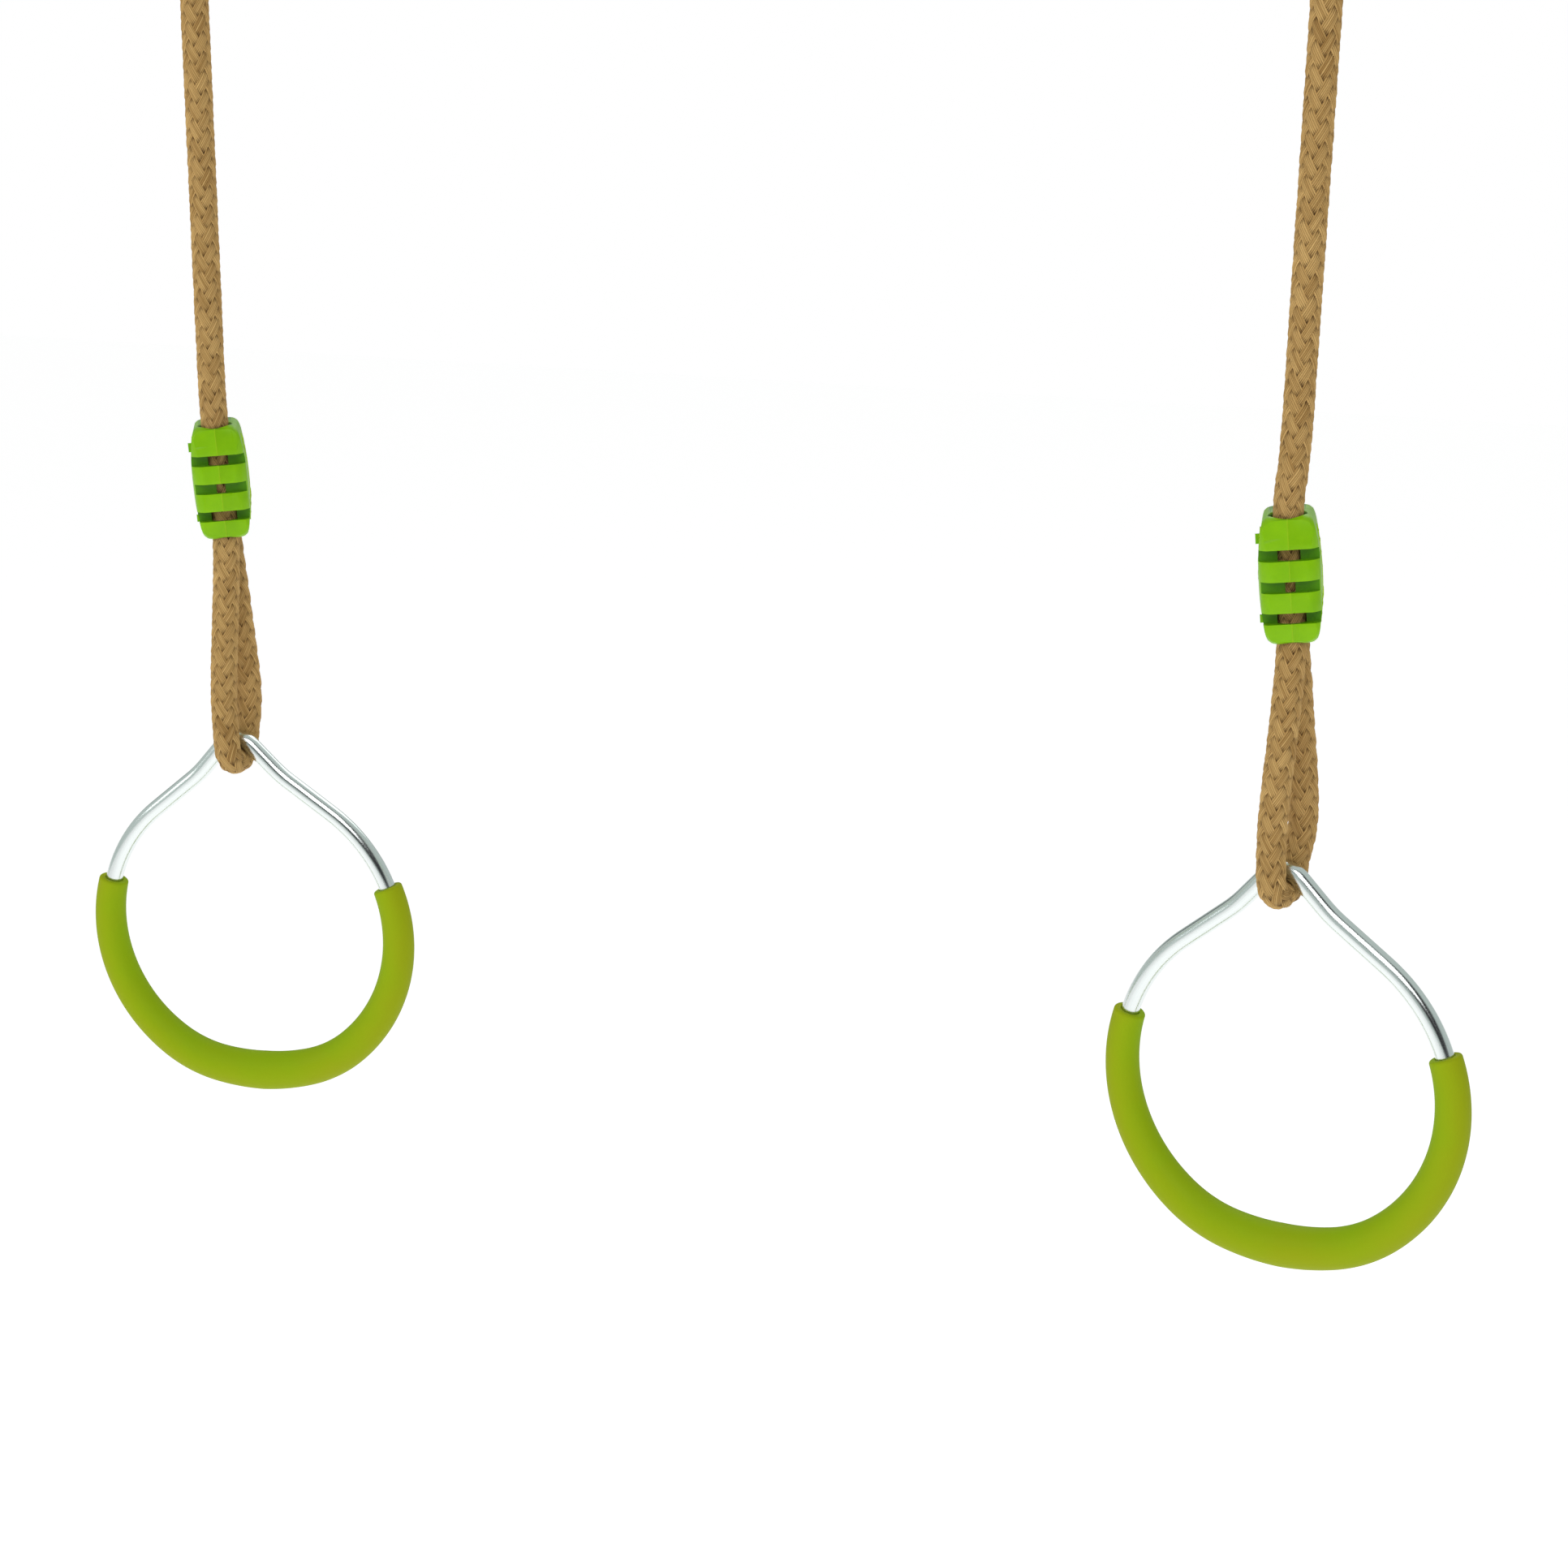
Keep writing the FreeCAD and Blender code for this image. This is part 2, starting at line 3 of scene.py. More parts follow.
import bmesh
import bpy
from mathutils import Matrix, Vector, noise
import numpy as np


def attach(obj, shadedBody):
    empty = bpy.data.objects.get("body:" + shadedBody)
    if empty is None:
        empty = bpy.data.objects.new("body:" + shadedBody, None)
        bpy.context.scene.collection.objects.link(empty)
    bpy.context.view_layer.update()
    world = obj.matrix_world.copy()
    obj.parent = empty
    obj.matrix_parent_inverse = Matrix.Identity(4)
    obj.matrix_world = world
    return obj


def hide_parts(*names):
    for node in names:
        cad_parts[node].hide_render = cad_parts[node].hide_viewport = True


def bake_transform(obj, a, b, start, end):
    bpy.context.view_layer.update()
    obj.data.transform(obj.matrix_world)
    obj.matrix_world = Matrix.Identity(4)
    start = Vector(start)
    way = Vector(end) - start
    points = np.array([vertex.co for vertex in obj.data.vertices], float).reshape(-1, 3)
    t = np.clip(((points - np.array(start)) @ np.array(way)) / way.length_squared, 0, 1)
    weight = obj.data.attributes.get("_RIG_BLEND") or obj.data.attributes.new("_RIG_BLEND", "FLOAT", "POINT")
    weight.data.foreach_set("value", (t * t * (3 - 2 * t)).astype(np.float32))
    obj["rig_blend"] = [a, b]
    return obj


# A pair of trapeze rings on braided ropes. Metres; the origin is where the left hook enters the beam.
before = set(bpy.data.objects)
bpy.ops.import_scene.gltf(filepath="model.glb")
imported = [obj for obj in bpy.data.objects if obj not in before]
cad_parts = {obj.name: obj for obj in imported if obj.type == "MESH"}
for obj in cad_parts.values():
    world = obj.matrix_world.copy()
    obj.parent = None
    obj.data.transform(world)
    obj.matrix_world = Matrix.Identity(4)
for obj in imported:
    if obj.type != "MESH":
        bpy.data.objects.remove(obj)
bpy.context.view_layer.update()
scene = bpy.context.scene

shared = {
    "ropeDiameter": 0.012,
    "ropeOffset": 0.0063,  # the rope hangs this far in front of the hook
    "ferruleBottom": -0.15552,
    "bendRadius": 0.0104,
    "rodRadius": 0.004,
    "thimbleHeight": -0.08152,
    "thimbleRopeRadius": 0.0197,
    "channelOffset": 0.0083,
    "adjusterHalf": 0.026,
    "adjusterAboveRod": 0.0995,
    "legExit": 0.008,
    "legSettle": 0.012,
}

sides = {
    "left": {"hookX": 0.0, "apex": (0.0, 0.003, -0.53152), "ringTurn": 8.1, "ringRoll": 2.5,
             "adjusterTurn": 30.0, "adjusterLean": -2.4, "facing": (0.52, -0.85, 0.0), "startAt": 0.3,
             "slip": 0.0027, "extraLean": -1.4, "legSkew": 0.0015, "rearSkew": 0.002},
    "right": {"hookX": 0.492, "apex": (0.498, 0.004, -0.53752), "ringTurn": -12.3, "ringRoll": 3.6,
              "adjusterTurn": 8.0, "adjusterLean": -2.6, "facing": (0.1, -0.99, 0.0), "startAt": 0.62,
              "slip": 0.0013, "extraLean": -3.8, "legSkew": 0.003, "rearSkew": 0.0025},
}


def turnAbout(axis, degrees):
    return Matrix.Rotation(math.radians(degrees), 4, axis)


for side in sides.values():
    apex = Vector(side["apex"])
    side["apexPlace"] = Matrix.Translation(apex) @ turnAbout("Z", side["ringTurn"])
    dip = Vector((0, 0, -shared["bendRadius"]))  # the ring rolls about the rope's middle
    side["ringPlace"] = (side["apexPlace"] @ Matrix.Translation(dip)
                         @ turnAbout("Y", -side["ringRoll"]) @ Matrix.Translation(-dip))
    middle = apex.z + shared["adjusterAboveRod"] + shared["adjusterHalf"]
    onRope = Vector((side["hookX"], -shared["ropeOffset"], middle))
    hung = Matrix.Translation((0, shared["channelOffset"], 0))
    side["adjusterSolid"] = (Matrix.Translation(onRope) @ turnAbout("Z", side["adjusterTurn"])
                             @ turnAbout("Y", side["adjusterLean"]) @ hung)
    onRope.x += side["slip"]  # seen on the rope, the moulding tips a little further and drags the rope
    side["adjusterPlace"] = (Matrix.Translation(onRope) @ turnAbout("Z", side["adjusterTurn"])
                             @ turnAbout("Y", side["adjusterLean"] + side["extraLean"]) @ hung)

# camera

cameraSettings = {
    "place": (0.6418, -1.0444, -0.2107),
    "yaw": 19.24,
    "pitch": 15.77,
    "roll": 0.885,
    "lens": 59.8,
}
cameraData = bpy.data.cameras.new("camera")
cameraData.sensor_width = 36
cameraData.lens = cameraSettings["lens"]
camera = bpy.data.objects.new("camera", cameraData)
camera.matrix_world = (Matrix.Translation(cameraSettings["place"]) @ turnAbout("Z", cameraSettings["yaw"])
                       @ turnAbout("X", 90 - cameraSettings["pitch"])
                       @ turnAbout("Z", cameraSettings["roll"]))
scene.collection.objects.link(camera)
scene.camera = camera
print("camera placed")


# materials

class Signal:
    def __init__(self, tree, socket=None):
        self.tree = tree
        self.socket = socket

    def node(self, kind, settings=None, sockets=None, output=0):
        made = self.tree.nodes.new("ShaderNode" + kind)
        for name, value in (settings or {}).items():
            setattr(made, name, value)
        for name, value in (sockets or {}).items():
            if isinstance(value, Signal):
                self.tree.links.new(value.socket, made.inputs[name])
            else:
                made.inputs[name].default_value = value
        return Signal(self.tree, made.outputs[output])

    def math(self, operation, *values):
        return self.node("Math", {"operation": operation}, dict(enumerate(values)))

    def __add__(self, other):
        return self.math("ADD", self, other)

    def __radd__(self, other):
        return self.math("ADD", other, self)

    def __sub__(self, other):
        return self.math("SUBTRACT", self, other)

    def __rsub__(self, other):
        return self.math("SUBTRACT", other, self)

    def __mul__(self, other):
        return self.math("MULTIPLY", self, other)

    def __rmul__(self, other):
        return self.math("MULTIPLY", other, self)

    def clamp(self, low, high):
        return self.math("MINIMUM", self.math("MAXIMUM", self, low), high)

    def blend(self, first, second):
        return self.node("Mix", {"data_type": "RGBA"}, {0: self, 6: first, 7: second}, 2)

    def noise(self, vector, scale, detail=2.0, roughness=0.5):
        return self.node("TexNoise", {}, {"Vector": vector, "Scale": scale, "Detail": detail,
                                          "Roughness": roughness})

    def stretch(self, vector, scale):
        return self.node("Mapping", {}, {"Vector": vector, "Scale": scale})

    def bump(self, height, strength, distance):
        return self.node("Bump", {}, {"Height": height, "Strength": strength, "Distance": distance})


def colour(red, green, blue):
    return (red, green, blue, 1.0)


def material(name, paint, **constants):
    made = bpy.data.materials.new(name)
    made.use_nodes = True
    tree = made.node_tree
    shader = tree.nodes["Principled BSDF"]
    for socket, value in constants.items():
        shader.inputs[socket.replace("_", " ")].default_value = value
    for socket, value in paint(Signal(tree)).items():
        tree.links.new(value.socket, shader.inputs[socket])
    return made


ropeFinish = {
    "tan": colour(0.31, 0.168, 0.045),
    "pale": colour(0.78, 0.52, 0.20),
    # painted shade for the gaps between strands and between yarns
    "gapShade": colour(0.06, 0.025, 0.006),
    "yarnsHalf": 3.0,
    "fibreBump": 0.5,
}


def paintRope(shade):
    lay = shade.node("Attribute", {"attribute_name": "lay"}, output=1)
    lift = shade.node("Attribute", {"attribute_name": "lift"}, output=2)
    across = shade.node("SeparateXYZ", {}, {"Vector": lay}, 0)
    strand = shade.node("SeparateXYZ", {}, {"Vector": lay}, 1)
    yarnNumber = shade.math("FLOOR", (across + 1.0) * ropeFinish["yarnsHalf"])
    yarnSeat = shade.node("CombineXYZ", {}, {"X": yarnNumber, "Y": strand, "Z": 0.5})
    yarnTone = shade.node("TexWhiteNoise", {"noise_dimensions": "3D"}, {"Vector": yarnSeat}, 0)
    strandTone = shade.noise(shade.stretch(lay, (0.0, 2.3, 14.0)), 1.0, 1.0)
    wander = shade.noise(shade.stretch(lay, (4.0, 3.0, 70.0)), 1.0, 3.0)
    fibre = shade.noise(shade.stretch(lay, (22.0, 3.0, 190.0)), 1.0, 3.0, 0.65)
    tone = (yarnTone * 0.42 + strandTone * 0.7 + wander * 0.5 + fibre * 0.8 - 0.79).clamp(0.0, 1.0)
    unshaded = tone.blend(ropeFinish["tan"], ropeFinish["pale"])
    # painted shade: where lift is low (strands passing under, strand undersides, troughs between yarns, the
    # core) the colour goes to the dark gap shade
    shadedBody = (lift * 1.5 - 0.2).clamp(0.0, 1.0).blend(ropeFinish["gapShade"], unshaded)
    return {"Base Color": shadedBody, "Roughness": 0.5 + fibre * 0.35,
            "Normal": shade.bump(fibre, ropeFinish["fibreBump"], 0.0005)}


limeFinish = {
    "lime": colour(0.25, 0.54, 0.0008),
    "shade": colour(0.18, 0.43, 0.0006),
    # painted shade for faces inside the slots and channels
    "hollowShade": colour(0.045, 0.20, 0.0004),
    # painted highlight for the bevelled edges, the seam and the flash
    "rim": colour(0.45, 0.70, 0.02),
}


def paintLime(shade):
    place = shade.node("TexCoord", output=3)
    rim = shade.node("Attribute", {"attribute_name": "rim"}, output=2)
    cloud = shade.noise(place, 90.0, 3.0)
    grain = shade.noise(place, 1500.0, 2.0)
    scuff = shade.noise(shade.stretch(place, (300.0, 300.0, 60.0)), 1.0, 3.0)
    tone = (cloud * 1.2 + grain * 0.3 - 0.25).clamp(0.0, 1.0)
    # painted shade: faces in the slots and channels go a deeper green
    hollowShade = shade.node("Attribute", {"attribute_name": "hollowShade"}, output=2)
    shadedBody = (hollowShade * 0.85).blend(tone.blend(limeFinish["shade"], limeFinish["lime"]), limeFinish["hollowShade"])
    # painted highlight: the bevelled edges, the seam and the flash are lightened towards the paler rim green
    return {"Base Color": (rim * 0.8).blend(shadedBody, limeFinish["rim"]),
            "Roughness": 0.2 + scuff * 0.25,
            "Normal": shade.bump(grain * 0.6 + cloud * 2.0, 0.14, 0.0003)}


gripFinish = {
    "olive": colour(0.30, 0.37, 0.004),
    "green": colour(0.245, 0.42, 0.003),
}


def paintGrip(shade):
    place = shade.node("TexCoord", output=3)
    lay = shade.node("Attribute", {"attribute_name": "lay"}, output=1)
    across = shade.node("SeparateXYZ", {}, {"Vector": lay}, 1)
    cloud = shade.noise(place, 30.0, 3.0)
    pore = shade.noise(place, 2200.0, 2.0)
    # painted light: the inner band across the sleeve's section is painted greener and the outer side more
    # olive; the cloud adds a random tone on top
    tone = (across * 0.4 + cloud * 1.1 - 0.25).clamp(0.0, 1.0)
    return {"Base Color": tone.blend(gripFinish["olive"], gripFinish["green"]),
            "Roughness": 0.48 + cloud * 0.2,
            "Normal": shade.bump(pore, 0.1, 0.0002)}


zincFinish = {
    "bright": colour(0.83, 0.86, 0.85),
    "dull": colour(0.62, 0.68, 0.67),
}


def paintZinc(shade):
    lay = shade.node("Attribute", {"attribute_name": "lay"}, output=1)
    streak = shade.noise(shade.stretch(lay, (5.0, 5.0, 9.0)), 1.0, 4.0, 0.65)
    fine = shade.noise(shade.stretch(lay, (30.0, 30.0, 40.0)), 1.0, 3.0, 0.6)
    tone = (streak * 1.5 + fine * 0.5 - 0.5).clamp(0.0, 1.0)
    return {"Base Color": tone.blend(zincFinish["dull"], zincFinish["bright"]),
            "Roughness": 0.07 + streak * 0.16 + fine * 0.08,
            "Normal": shade.bump(fine + streak, 0.1, 0.0002)}


galvFinish = {
    "light": colour(0.66, 0.68, 0.69),
    "dark": colour(0.46, 0.48, 0.50),
}


def paintGalv(shade):
    place = shade.node("TexCoord", output=3)
    spangle = shade.node("TexVoronoi", {"feature": "F1"}, {"Vector": place, "Scale": 260.0}, 1)
    patch = shade.node("SeparateColor", {}, {"Color": spangle}, 0)
    grain = shade.noise(place, 900.0, 3.0)
    tone = (patch * 0.7 + grain * 0.5).clamp(0.0, 1.0)
    return {"Base Color": tone.blend(galvFinish["dark"], galvFinish["light"]),
            "Roughness": 0.28 + patch * 0.15 + grain * 0.12,
            "Normal": shade.bump(grain, 0.12, 0.0003)}


def paintFerrule(shade):
    place = shade.node("TexCoord", output=3)
    brushed = shade.noise(shade.stretch(place, (2400.0, 2400.0, 120.0)), 1.0, 2.0)
    patch = shade.noise(place, 140.0, 3.0)
    tone = (patch * 0.8 + brushed * 0.4 - 0.1).clamp(0.0, 1.0)
    return {"Base Color": tone.blend(galvFinish["dark"], galvFinish["light"]),
            "Roughness": 0.24 + brushed * 0.2 + patch * 0.1,
            "Normal": shade.bump(brushed, 0.15, 0.0002)}


ropeMaterial = material("tanRope", paintRope, Specular_IOR_Level=0.15)
limeMaterial = material("limeMoulding", paintLime, Specular_IOR_Level=0.16,
                        Subsurface_Weight=0.2, Subsurface_Scale=0.0015,
                        Subsurface_Radius=(0.6, 1.0, 0.05))
gripMaterial = material("softGripGreen", paintGrip, Specular_IOR_Level=0.08)
zincMaterial = material("brightZinc", paintZinc, Metallic=1.0)
galvMaterial = material("galvanised", paintGalv, Metallic=1.0)
ferruleMaterial = material("pressedFerrule", paintFerrule, Metallic=1.0)
print("materials made")


def newPiece(name, bm, finish):
    mesh = bpy.data.meshes.new(name)
    bm.to_mesh(mesh)
    bm.free()
    for face in mesh.polygons:
        face.use_smooth = True
    piece = bpy.data.objects.new(name, mesh)
    piece.data.materials.append(finish)
    scene.collection.objects.link(piece)
    return piece


# braided rope: sixteen flat strands of parallel yarns, eight each way round, over two and under two

braid = {
    "lead": 0.066,
    "strands": 8,
    "strandWidth": 0.0044,
    "strandThickness": 0.0015,
    "middleRadius": 0.00475,
    "weave": 0.0005,
    "yarns": 6,
    "yarnDepth": 0.00032,
    "step": 0.0016,
    "coreRadius": 0.0040,
}


def routeLine(name, points):
    data = bpy.data.curves.new(name, "CURVE")
    data.dimensions = "3D"
    data.resolution_u = 48
    spline = data.splines.new("NURBS")
    spline.points.add(len(points) - 1)
    for control, point in zip(spline.points, points):
        control.co = (*point, 1.0)
    spline.order_u = 3
    spline.use_endpoint_u = True
    route = bpy.data.objects.new(name, data)
    scene.collection.objects.link(route)
    bpy.context.view_layer.update()
    mesh = bpy.data.meshes.new_from_object(route)
    line = [vertex.co.copy() for vertex in mesh.vertices]
    bpy.data.meshes.remove(mesh)
    bpy.data.objects.remove(route)
    return line


def evenLine(line, step):
    lengths = [0.0]
    for before, after in zip(line, line[1:]):
        lengths.append(lengths[-1] + (after - before).length)
    count = max(2, round(lengths[-1] / step))
    even = []
    index = 0
    for number in range(count + 1):
        target = lengths[-1] * number / count
        while index < len(line) - 2 and lengths[index + 1] < target:
            index += 1
        part = (target - lengths[index]) / max(lengths[index + 1] - lengths[index], 1e-9)
        even.append(line[index].lerp(line[index + 1], min(part, 1.0)))
    return even, lengths[-1]


def carriedFrames(line, facing):
    frames = []
    along = (line[1] - line[0]).normalized()
    front = (facing - along * facing.dot(along)).normalized()
    for number, point in enumerate(line):
        before = line[max(number - 1, 0)]
        after = line[min(number + 1, len(line) - 1)]
        heading = (after - before).normalized()
        front = (along.rotation_difference(heading).to_matrix() @ front).normalized()
        along = heading
        frames.append((point, heading, front, heading.cross(front)))
    return frames


def strandSection(widen):
    half = braid["strandWidth"] / 2 * widen
    thick = braid["strandThickness"] / 2
    across = braid["yarns"] * 3
    section = []
    for number in range(across + 1):
        side = 2 * number / across - 1
        ridge = braid["yarnDepth"] if number % 3 else 0.0
        swell = 1.0 - 0.55 * abs(side) ** 2.5
        section.append((side * half, thick * swell + ridge, side, 1.0))
    section.append((half * 0.9, -thick * 0.5, 0.9, 0.0))
    section.append((-half * 0.9, -thick * 0.5, -0.9, 0.0))
    return section


def addStrand(bm, frames, length, hand, number, start):
    lay = bm.verts.layers.float_vector["lay"]
    lift = bm.verts.layers.float["lift"]
    rows = len(frames) - 1
    count = braid["strands"]
    seed = number + count * (hand > 0)
    section = strandSection(1.0 + 0.09 * math.sin(seed * 2.4))
    columns = len(section)
    places = []
    for row, (point, heading, front, beside) in enumerate(frames):
        travel = start + length * row / rows
        angle = hand * math.tau * travel / braid["lead"] + number * math.tau / count
        wave = math.cos(count / 2 * (angle - math.pi / 2 / count)) * hand
        over = max(-1.0, min(1.0, 1.6 * wave))
        wander = noise.noise(Vector((travel * 60.0, seed * 3.7, 2.5)))
        sway = noise.noise(Vector((travel * 45.0, seed * 5.1, 9.5)))
        radius = braid["middleRadius"] + braid["weave"] * over + 0.00018 * wander
        angle += 0.05 * sway - 1.5 * math.pi / count  # a line of Vs faces forward
        outward = front * math.cos(angle) + beside * math.sin(angle)
        places.append((point + outward * radius, outward, over, travel))
    grid = bmesh.ops.create_grid(bm, x_segments=columns, y_segments=rows, size=0.5)["verts"]
    for vertex in grid:
        column = round((vertex.co.x + 0.5) * columns) % columns
        row = round((vertex.co.y + 0.5) * rows)
        middle, outward, over, travel = places[row]
        heading = (places[min(row + 1, rows)][0] - places[max(row - 1, 0)][0]).normalized()
        beside = heading.cross(outward).normalized()
        across, rise, side, top = section[column]
        sag = across ** 2 / (2 * braid["middleRadius"])
        vertex.co = middle + beside * across + outward * (rise - sag)
        vertex[lay] = (side, seed * 1.3, travel)
        # painted shade: strands passing under and the strand undersides get a low lift, which the rope paint
        # darkens; the troughs between yarns are darkened further
        vertex[lift] = (0.5 + 0.5 * over) * (0.4 + 0.6 * top)
        if top and column % 3 == 0:
            vertex[lift] *= 0.45
    bmesh.ops.remove_doubles(bm, verts=grid, dist=1e-7)


def braidRope(name, points, facing, start=0.0):
    line, length = evenLine(routeLine(name + "Route", points), braid["step"])
    frames = carriedFrames(line, facing)
    whole = bmesh.new()
    whole.verts.layers.float_vector.new("lay")
    whole.verts.layers.float.new("lift")
    for hand in (1, -1):
        for number in range(braid["strands"]):
            addStrand(whole, frames, length, hand, number, start)
    core = bmesh.ops.create_grid(whole, x_segments=16, y_segments=len(frames) - 1, size=0.5)["verts"]
    lift = whole.verts.layers.float["lift"]
    for vertex in core:
        point, heading, front, beside = frames[round((vertex.co.y + 0.5) * (len(frames) - 1))]
        turn = math.tau * (vertex.co.x + 0.5)
        vertex.co = point + (front * math.cos(turn) + beside * math.sin(turn)) * braid["coreRadius"]
        # painted shade: the core is painted as dark as the deepest gaps
        vertex[lift] = 0.1
    bmesh.ops.remove_doubles(whole, verts=core, dist=1e-7)
    ends = [edge for edge in whole.edges if edge.is_boundary]
    bmesh.ops.holes_fill(whole, edges=ends, sides=0)
    bmesh.ops.recalc_face_normals(whole, faces=whole.faces)
    piece = newPiece(name, whole, ropeMaterial)
    print(name, "length", round(length, 4))
    return piece, line, frames, length


def buildRopes(label, side):
    hookX = side["hookX"]
    offset = shared["ropeOffset"]
    bend = shared["bendRadius"]
    apexPlace = side["apexPlace"]
    apexZ = side["apex"][2]
    facing = Vector(side["facing"])
    exitZ = apexZ + shared["adjusterAboveRod"] - shared["legExit"]

    thimbleZ = shared["thimbleHeight"]
    around = shared["thimbleRopeRadius"]
    corner = around / math.cos(math.radians(28.07))

    def onThimble(degrees):
        turn = math.radians(degrees)
        return (hookX, corner * math.sin(turn), thimbleZ + corner * math.cos(turn))

    eyePoints = [(hookX, -offset, shared["ferruleBottom"]), (hookX, -offset, thimbleZ - 0.036),
                 onThimble(-84.2), onThimble(-28.07), onThimble(28.07), onThimble(84.2),
                 (hookX, offset, thimbleZ - 0.036), (hookX, offset, shared["ferruleBottom"] + 0.004)]
    eye, line, _, length = braidRope(f"{label}RopeEye", eyePoints, Vector((0.6, -0.8, 0)),
                                     side["startAt"] - 0.21)
    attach(eye, f"{label}_eye")
    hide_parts(f"{label}_rope_eye")

    adjuster = side["adjusterPlace"]
    channel = shared["channelOffset"]
    half = shared["adjusterHalf"]
    settle = shared["legSettle"]
    mainPoints = [(hookX, -offset, shared["ferruleBottom"]), (hookX, -offset, exitZ + 0.13),
                  (hookX, -offset, exitZ + 0.082), adjuster @ Vector((0, -channel, half + 0.003)),
                  adjuster @ Vector((0, -channel, 0)), adjuster @ Vector((0, -channel, -half - 0.003)),
                  apexPlace @ Vector((-side["legSkew"], -bend, settle * 2.5)),
                  apexPlace @ Vector((-side["legSkew"], -bend, settle)),
                  apexPlace @ Vector((-side["legSkew"] / 2, -bend, -bend)),
                  apexPlace @ Vector((0, bend, -bend)),
                  apexPlace @ Vector((0, bend, 0.002))]
    main, line, frames, length = braidRope(f"{label}MainRope", mainPoints, facing, side["startAt"])
    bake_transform(main, f"{label}_rope", f"{label}_loop", start=(hookX, -offset, -0.24),
             end=(hookX, -offset, -0.515))
    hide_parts(f"{label}_main_rope", f"{label}_front_leg", f"{label}_rope_bend")

    rearPoints = [apexPlace @ Vector((0, bend, 0.002)), apexPlace @ Vector((side["rearSkew"], bend, settle)),
                  apexPlace @ Vector((side["rearSkew"], bend, settle * 2.5)),
                  adjuster @ Vector((0, channel, -half - shared["legExit"])),
                  adjuster @ Vector((0, channel, -half)), adjuster @ Vector((0, channel, 0.034 - half))]
    rear, line, _, rearLength = braidRope(f"{label}RearRope", rearPoints, frames[-1][2],
                                          side["startAt"] + length)
    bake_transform(rear, f"{label}_loop", f"{label}_adjuster", start=rearPoints[0], end=rearPoints[4])
    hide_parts(f"{label}_rear_leg", f"{label}_rope_tail")


for label, side in sides.items():
    buildRopes(label, side)

# ring: a closed chain of arcs, with a soft sleeve over its lower half

ring = {
    "apex": (0.010, 47.0),
    "neckRun": 0.0145,
    "neck": (0.060, 9.6),
    "side": (0.0755, 104.1),
    "corner": (0.059, 24.7),
    "bottom": 0.0966,
    "step": 0.0016,
    "around": 48,
    "gripRise": 0.024,
    "gripEnd": 0.007,
    "gripMiddle": 0.0095,
    "gripEdge": 0.0012,
    "gripBore": 0.00415,
}


def halfRing(shoulderRun):
    chain = [("arc", ring["apex"][0], ring["apex"][1]), ("run", ring["neckRun"], 0),
             ("arc", -ring["neck"][0], -ring["neck"][1]), ("run", shoulderRun, 0),
             ("arc", ring["side"][0], ring["side"][1]), ("arc", ring["corner"][0], ring["corner"][1])]
    turned = sum(turn for kind, radius, turn in chain if kind == "arc")
    chain.append(("arc", ring["bottom"], 180 - turned))
    stations = [(0.0, 0.0, 0.0)]
    for kind, amount, turn in chain:
        x, z, heading = stations[-1]
        sweep = math.radians(turn)
        length = abs(amount * sweep) if kind == "arc" else amount
        steps = max(1, math.ceil(length / ring["step"]))
        for number in range(1, steps + 1):
            part = number / steps
            if kind == "run":
                reach = length * part
                stations.append((x + math.cos(heading) * reach, z - math.sin(heading) * reach, heading))
            else:
                now = heading + sweep * part
                stations.append((x + amount * (math.sin(now) - math.sin(heading)),
                                 z + amount * (math.cos(now) - math.cos(heading)), now))
    return stations


def closedHalfRing():
    gap = halfRing(0.0)[-1][0]
    shoulder = math.radians(ring["apex"][1] - ring["neck"][1])
    return halfRing(-gap / math.cos(shoulder))


def stationMatrix(x, z, heading, radius):
    along = Vector((math.cos(heading), 0, -math.sin(heading)))
    depth = Vector((0, 1, 0))
    turned = Matrix((depth, along.cross(depth), along)).transposed().to_4x4()
    return Matrix.Translation((x, 0, z)) @ turned @ Matrix.Scale(radius, 4)


def sweepRound(stations):
    bm = bmesh.new()
    lay = bm.verts.layers.float_vector.new("lay")
    rim = bmesh.ops.create_circle(bm, cap_ends=False, radius=1.0, segments=ring["around"])["verts"]
    for vertex in rim:
        vertex[lay] = (vertex.co.x, vertex.co.y, 0.0)
    edges = list(bm.edges)
    place = stationMatrix(*stations[0][:4])
    bmesh.ops.transform(bm, matrix=place, verts=rim)
    travelled = 0.0
    for station in stations[1:]:
        grown = bmesh.ops.extrude_edge_only(bm, edges=edges)["geom"]
        rim = [element for element in grown if isinstance(element, bmesh.types.BMVert)]
        edges = [element for element in grown if isinstance(element, bmesh.types.BMEdge)]
        there = stationMatrix(*station[:4])
        travelled += (there.translation - place.translation).length
        bmesh.ops.transform(bm, matrix=there @ place.inverted(), verts=rim)
        for vertex in rim:
            vertex[lay] = (vertex[lay][0], vertex[lay][1], travelled)
        place = there
    bmesh.ops.remove_doubles(bm, verts=bm.verts, dist=1e-6)
    bmesh.ops.recalc_face_normals(bm, faces=bm.faces)
    return bm


